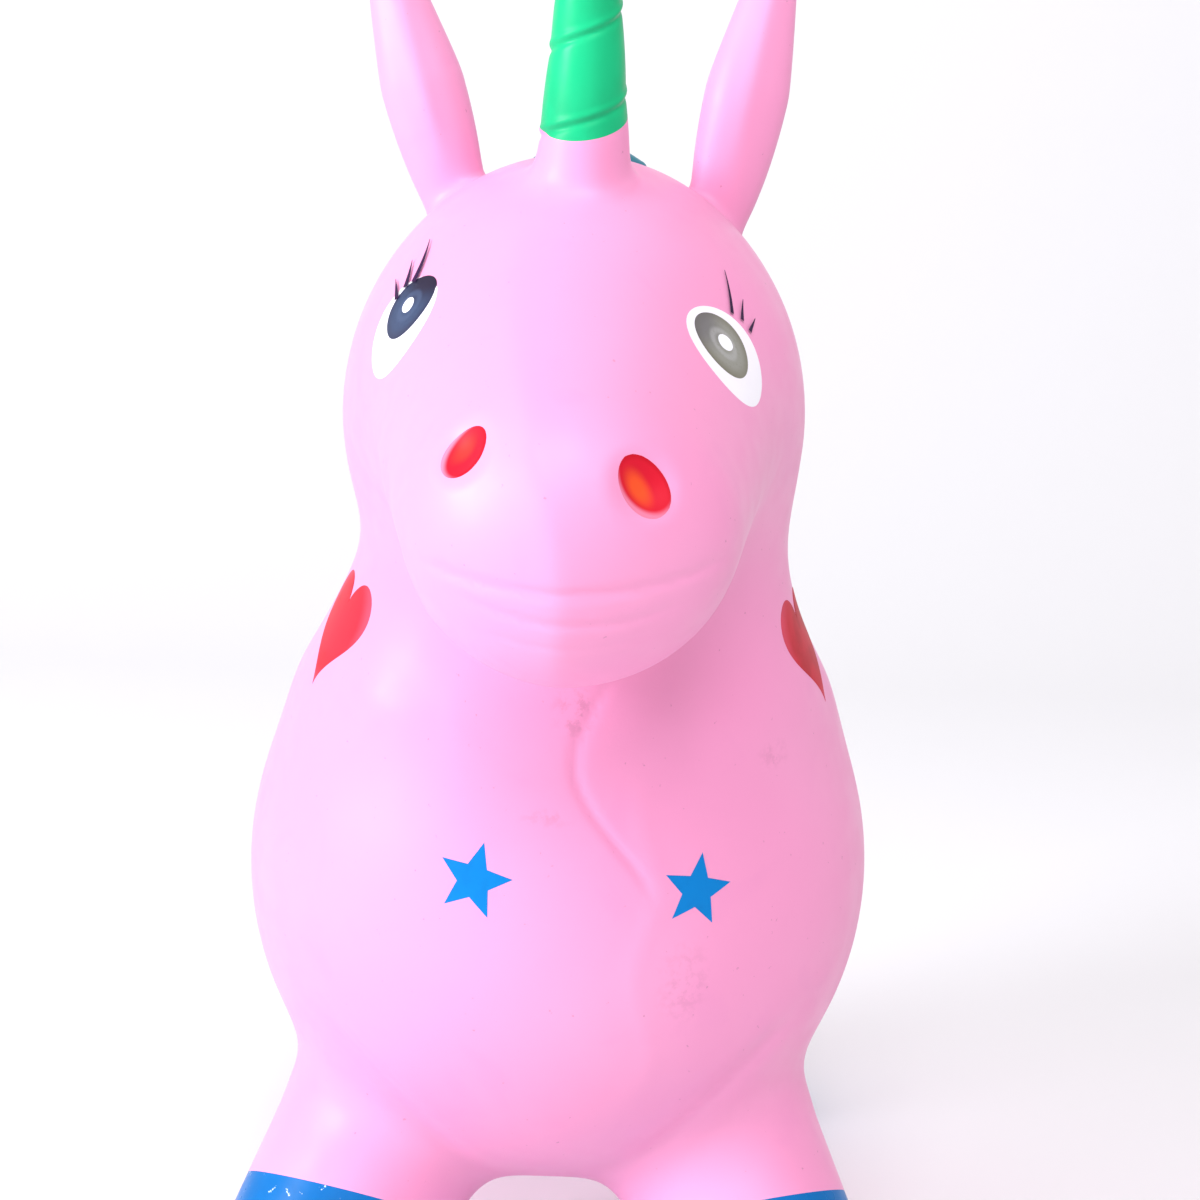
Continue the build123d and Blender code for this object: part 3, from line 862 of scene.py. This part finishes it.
# ---- Materials ------------
class Finish:
    """One material's node tree, with short ways to add the nodes that these finishes share."""

    def __init__(self, name, colour, roughness, coat_weight=0.0, sheen=0.0, specular=0.5):
        self.material = bpy.data.materials.new(name)
        self.material.use_nodes = True
        self.tree = self.material.node_tree
        self.shader = self.tree.nodes["Principled BSDF"]
        self.shader.inputs["Base Color"].default_value = (*colour, 1)
        self.shader.inputs["Roughness"].default_value = roughness
        self.shader.inputs["Coat Weight"].default_value = coat_weight
        self.shader.inputs["Coat Roughness"].default_value = 0.25
        self.shader.inputs["Sheen Weight"].default_value = sheen
        self.shader.inputs["Specular IOR Level"].default_value = specular
        self.colour = None
        self.base = colour

    def node(self, kind, **values):
        made = self.tree.nodes.new(kind)
        for key, value in values.items():
            if key in made.inputs:
                made.inputs[key].default_value = value
            else:
                setattr(made, key, value)
        return made

    def link(self, a, b):
        self.tree.links.new(a, b)

    def where(self, attribute="rest"):
        return self.node("ShaderNodeAttribute", attribute_name=attribute).outputs["Vector"]

    def noise(self, scale, detail=3.0, vector=None, roughness=0.5, distortion=0.0):
        noise = self.node("ShaderNodeTexNoise", Scale=scale, Detail=detail, Roughness=roughness,
                          Distortion=distortion)
        self.link(vector or self.where(), noise.inputs["Vector"])
        return noise.outputs["Fac"]

    def remap(self, value, low, high, to_low=0.0, to_high=1.0):
        ramp = self.node("ShaderNodeMapRange", interpolation_type="SMOOTHSTEP")
        self.link(value, ramp.inputs["Value"])
        for key, number in (("From Min", low), ("From Max", high), ("To Min", to_low),
                            ("To Max", to_high)):
            ramp.inputs[key].default_value = number
        return ramp.outputs["Result"]

    def math(self, operation, a, b=None):
        made = self.node("ShaderNodeMath", operation=operation)
        for socket, value in zip(made.inputs, (a, b)):
            if value is None:
                continue
            if isinstance(value, (int, float)):
                socket.default_value = value
            else:
                self.link(value, socket)
        return made.outputs[0]

    def tint(self, factor, colour, strength=1.0):
        """Mixes a colour over the base where factor is high."""
        mix = self.node("ShaderNodeMix", data_type="RGBA")
        factor = self.math("MULTIPLY", factor, strength)
        self.link(factor, mix.inputs["Factor"])
        if self.colour is None:
            mix.inputs["A"].default_value = (*self.base, 1)
        else:
            self.link(self.colour, mix.inputs["A"])
        mix.inputs["B"].default_value = (*colour, 1)
        self.colour = mix.outputs["Result"]
        self.link(self.colour, self.shader.inputs["Base Color"])

    def distance(self, centre, stretch=(1, 1, 1), attribute="rest"):
        """Distance from a place on the object, each direction stretched by a factor."""
        shift = self.node("ShaderNodeVectorMath", operation="SUBTRACT")
        self.link(self.where(attribute), shift.inputs[0])
        shift.inputs[1].default_value = centre
        scale = self.node("ShaderNodeVectorMath", operation="MULTIPLY")
        self.link(shift.outputs[0], scale.inputs[0])
        scale.inputs[1].default_value = stretch
        length = self.node("ShaderNodeVectorMath", operation="LENGTH")
        self.link(scale.outputs[0], length.inputs[0])
        return length.outputs["Value"]

    def bump(self, height, depth, strength=1.0):
        bump = self.node("ShaderNodeBump", Strength=strength, Distance=depth)
        self.link(height, bump.inputs["Height"])
        self.link(bump.outputs["Normal"], self.shader.inputs["Normal"])

    def vary_roughness(self, value, low, high):
        self.link(self.remap(value, 0.3, 0.7, low, high), self.shader.inputs["Roughness"])


PINK = (0.84, 0.315, 0.535)
DIRT = (0.30, 0.10, 0.14)
# Faint smudges on the chest, as (place, stretch, size, strength).
SMUDGES = [((0.004, -0.172, 0.283), (1, 1, 0.8), 0.011, 0.30),
           ((-0.005, -0.178, 0.243), (0.5, 1, 1.6), 0.008, 0.22),
           ((0.048, -0.168, 0.180), (1.0, 1, 0.6), 0.014, 0.16),
           ((0.078, -0.140, 0.262), (0.7, 1, 1.3), 0.010, 0.16)]


def vinyl(name="vinyl_skin"):
    """Soft satin PVC: a milky pink with slow colour drift, faint scuffs and grime."""
    f = Finish(name, PINK, 0.46, coat_weight=0.03, sheen=0.05, specular=0.28)
    slow = f.noise(9, 2)
    f.tint(f.remap(slow, 0.45, 0.75), (0.87, 0.36, 0.58), 0.5)
    f.tint(f.remap(f.noise(26, 4, distortion=0.6), 0.56, 0.72), (0.74, 0.26, 0.50), 0.16)
    for at, stretch, size, strength in SMUDGES:
        spot = f.remap(f.distance(at, stretch), size, size * 0.25)
        patchy = f.remap(f.noise(230, 5, roughness=0.7), 0.46, 0.62)
        f.tint(f.math("MULTIPLY", spot, patchy), DIRT, strength)
    specks = f.remap(f.noise(420, 2), 0.735, 0.775)
    f.tint(specks, DIRT, 0.35)
    f.vary_roughness(f.noise(60, 4), 0.36, 0.50)
    f.bump(f.noise(900, 2), 0.00006, 0.35)
    return f.material


def gloss_paint(name, colour, dark, wear=None, roughness=0.30):
    """Brushed-on toy paint: glossier than the vinyl, uneven in depth, worn in small flecks."""
    f = Finish(name, colour, roughness, coat_weight=0.02, specular=0.14)
    f.tint(f.remap(f.noise(38, 4), 0.42, 0.72), dark, 0.38)
    if wear is not None:
        chips = f.remap(f.noise(260, 5, roughness=0.65), 0.655, 0.675)
        patch = f.remap(f.noise(24, 2), 0.46, 0.62)
        f.tint(f.math("MULTIPLY", chips, patch), wear, 0.9)
    f.vary_roughness(f.noise(90, 4), roughness - 0.05, roughness + 0.10)
    f.bump(f.noise(300, 3), 0.00010, 0.4)
    return f.material


def flat_paint(name, colour, dark, roughness=0.45):
    """A thin printed coat, slightly patchy where the paint ran thin."""
    f = Finish(name, colour, roughness, specular=0.10)
    f.tint(f.remap(f.noise(160, 4), 0.45, 0.75), dark, 0.30)
    f.bump(f.noise(700, 2), 0.00004, 0.3)
    return f.material


def radial(f, width, height, shift=(0, 0)):
    """0 at the middle of a mark and 1 at its edge."""
    return f.distance((*shift, 0), (2 / width, 2 / height, 1), "place")


def iris_paint(name, side):
    w, h, _ = EYE[side]["iris"]
    if side == "right":
        f = Finish(name, (0.030, 0.052, 0.110), 0.34, specular=0.25)
        dark, rim = (0.012, 0.006, 0.022), (0.020, 0.022, 0.055)
    else:
        # The left iris is painted grey: painted reflection of the light over its dark ink, which is
        # dark like the right one.
        f = Finish(name, (0.27, 0.27, 0.23), 0.34, specular=0.25)
        dark, rim = (0.11, 0.10, 0.12), (0.16, 0.15, 0.10)
    f.tint(f.remap(radial(f, w, h), 0.62, 0.98), rim, 0.75)
    top = f.distance((-0.15 * w, 0.62 * h, 0), (1 / w, 1 / h, 1), "place")
    f.tint(f.remap(top, 0.72, 0.30), dark, 0.92 if side == "right" else 0.65)
    ring = f.math("ABSOLUTE", f.math("SUBTRACT", radial(f, w, h), 0.40))
    # The lighter ring is the print's own tone on the right iris and painted reflection on the left
    # iris.
    light = (0.055, 0.085, 0.16) if side == "right" else (0.42, 0.42, 0.41)
    f.tint(f.remap(ring, 0.16, 0.02), light, 0.55)
    f.tint(f.remap(f.noise(900, 3), 0.5, 0.8), rim, 0.35)
    return f.material


def nostril_paint(name, side):
    _, _, half_height, half_width, _ = NOSTRILS[side]
    f = Finish(name, (0.62, 0.010, 0.028), 0.42, specular=0.10)
    w, h = 2 * half_width, 2 * half_height
    # Painted reflection: an orange highlight of the light inside each nostril's dent, stronger on
    # the left nostril.
    painted_reflection = radial(f, w * 0.62, h * 0.80, (-0.10 * w, 0.02 * h))
    f.tint(f.remap(painted_reflection, 1.0, 0.25), (0.90, 0.11, 0.02), 0.75 if side == "left" else 0.22)
    soft = radial(f, w, h, (0.10 * w, 0.07 * h))
    f.tint(f.remap(soft, 0.93, 1.16), (0.80, 0.26, 0.40), 0.8)
    edge = radial(f, w, h, (-0.06 * w, -0.05 * h))
    f.tint(f.remap(edge, 0.88, 1.08), (0.42, 0.004, 0.012), 0.45)
    return f.material


def paint(obj, material):
    obj.data.materials.clear()
    obj.data.materials.append(material)


def sprayed_heart(name):
    f = Finish(name, (0.56, 0.026, 0.045), 0.44, specular=0.1)
    f.tint(f.remap(f.noise(70, 4), 0.42, 0.70), (0.36, 0.018, 0.024), 0.55)
    ring = radial(f, *HEART_SIZE)
    f.tint(f.remap(ring, 0.70, 1.05), (0.78, 0.12, 0.20), 0.45)
    return f.material


skin_finish = vinyl()
hoof_finish = gloss_paint("hoof_blue", (0.004, 0.150, 0.440), (0.003, 0.100, 0.310),
                          wear=(0.62, 0.80, 0.90))
horn_finish = gloss_paint("horn_green", (0.010, 0.500, 0.200), (0.010, 0.330, 0.125),
                          roughness=0.34)
mane_finish = gloss_paint("mane_teal", (0.045, 0.260, 0.300), (0.080, 0.150, 0.290))
saddle_finish = gloss_paint("saddle_blue", (0.035, 0.130, 0.380), (0.025, 0.080, 0.260))
white_finish = flat_paint("eye_white", (0.90, 0.88, 0.92), (0.86, 0.80, 0.90))
glint_finish = flat_paint("eye_glint", (0.96, 0.97, 1.0), (0.90, 0.93, 0.97), 0.3)
lash_finish = flat_paint("lash_black", (0.030, 0.010, 0.045), (0.014, 0.006, 0.022), 0.4)
star_finish = flat_paint("star_blue", (0.002, 0.200, 0.550), (0.002, 0.150, 0.450), 0.42)
ring_finish = flat_paint("valve_vinyl", (0.80, 0.42, 0.60), (0.74, 0.36, 0.54), 0.38)
plug_finish = flat_paint("plug_white", (0.86, 0.85, 0.83), (0.76, 0.75, 0.72), 0.35)

trunk = make_trunk()
paint(trunk, skin_finish)
for end, side in LEGS:
    shank, hoof = make_leg(end, side)
    paint(shank, skin_finish)
    paint(hoof, hoof_finish)
horn_base, horn_top = make_horn()
paint(horn_base, skin_finish)
paint(horn_top, horn_finish)
paint(make_tail(), mane_finish)
paint(make_mane(), mane_finish)
paint(make_saddle(), saddle_finish)
for side in SIDES:
    paint(make_ear(side), skin_finish)
    sclera, iris, glint, lashes = make_eye(side)
    for piece, material in ((sclera, white_finish), (glint, glint_finish), (lashes, lash_finish),
                            (iris, iris_paint(f"iris_{side}", side)),
                            (make_nostril(side), nostril_paint(f"nostril_{side}", side)),
                            (make_star(side), star_finish),
                            (make_heart(side), sprayed_heart(f"heart_{side}"))):
        paint(piece, material)
ring, stopper, tab = make_valve()
paint(ring, ring_finish)
paint(stopper, plug_finish)
paint(tab, plug_finish)

# ---- Floor, lights and camera ------------
# The floor runs back and curves up into a wall: (y, z) of its profile.
floor_mesh = bpy.data.meshes.new("floor")
SWEEP = [(-3.0, 0.0), (1.2, 0.0)]
SWEEP += [(1.2 + 0.8 * math.sin(a), 0.8 - 0.8 * math.cos(a)) for a in np.linspace(0.1, 1.5, 12)]
SWEEP += [(2.0, 3.2)]
rows = [(x, y, z) for y, z in SWEEP for x in (-4.0, 4.0)]
floor_mesh.from_pydata(rows, [], [(2 * k, 2 * k + 1, 2 * k + 3, 2 * k + 2)
                                  for k in range(len(SWEEP) - 1)])
floor_mesh.polygons.foreach_set("use_smooth", [True] * len(floor_mesh.polygons))
floor = bpy.data.objects.new("floor", floor_mesh)
bpy.context.collection.objects.link(floor)
floor_finish = Finish("floor", (0.82, 0.82, 0.82), 0.9, specular=0.1)
floor_finish.shader.inputs["Emission Color"].default_value = (1, 1, 1, 1)
floor_finish.shader.inputs["Emission Strength"].default_value = 0.10
paint(floor, floor_finish.material)

world = bpy.data.worlds.new("studio")
bpy.context.scene.world = world
world.use_nodes = True
sky = world.node_tree.nodes["Background"].inputs
sky["Color"].default_value = (1.0, 0.97, 0.99, 1)
sky["Strength"].default_value = 0.56


def area_light(name, at, target, size, power, colour):
    data = bpy.data.lights.new(name, "AREA")
    data.shape = "DISK"
    data.size, data.energy, data.color = size, power, colour
    lamp = bpy.data.objects.new(name, data)
    bpy.context.collection.objects.link(lamp)
    lamp.location = at
    lamp.rotation_mode = "QUATERNION"
    lamp.rotation_quaternion = (Vector(target) - Vector(at)).to_track_quat("-Z", "Y")


area_light("window", (-1.9, -1.0, 0.9), (0, -0.05, 0.28), 1.0, 54, (0.90, 0.90, 1.0))
area_light("high_front", (0.1, -1.3, 1.8), (0, -0.1, 0.40), 1.1, 24, (0.95, 0.92, 1.0))
area_light("top", (0.1, 0.2, 2.4), (0, 0, 0.3), 1.8, 4, (1.0, 1.0, 1.0))

CAMERA_AT = Vector((0, -1.0353, 0.4827))
CAMERA_AIM = Vector((0, -0.06, 0.262))
CAMERA_ROLL = math.radians(2)
FOCAL, SENSOR = 72.0, 36.0
CENTRE_RIGHT, CENTRE_UP = 0.030, 0.08333   # the optical axis sits this far off the frame's centre

forward = (CAMERA_AIM - CAMERA_AT).normalized()
level = forward.cross(Vector((0, 0, 1))).normalized()
upright = level.cross(forward)
right = level * math.cos(CAMERA_ROLL) + upright * math.sin(CAMERA_ROLL)
upward = -level * math.sin(CAMERA_ROLL) + upright * math.cos(CAMERA_ROLL)
lens = bpy.data.cameras.new("camera")
lens.lens, lens.sensor_width = FOCAL, SENSOR
camera = bpy.data.objects.new("camera", lens)
bpy.context.collection.objects.link(camera)
camera.location = CAMERA_AT
half_frame = SENSOR / FOCAL
ahead = (forward + right * CENTRE_RIGHT * half_frame + upward * CENTRE_UP * half_frame).normalized()
across = ahead.cross(upward).normalized()
above = across.cross(ahead)
camera.rotation_mode = "QUATERNION"
camera.rotation_quaternion = Matrix((across, above, -ahead)).transposed().to_quaternion()
bpy.context.scene.camera = camera
bpy.context.scene.view_settings.view_transform = "Standard"
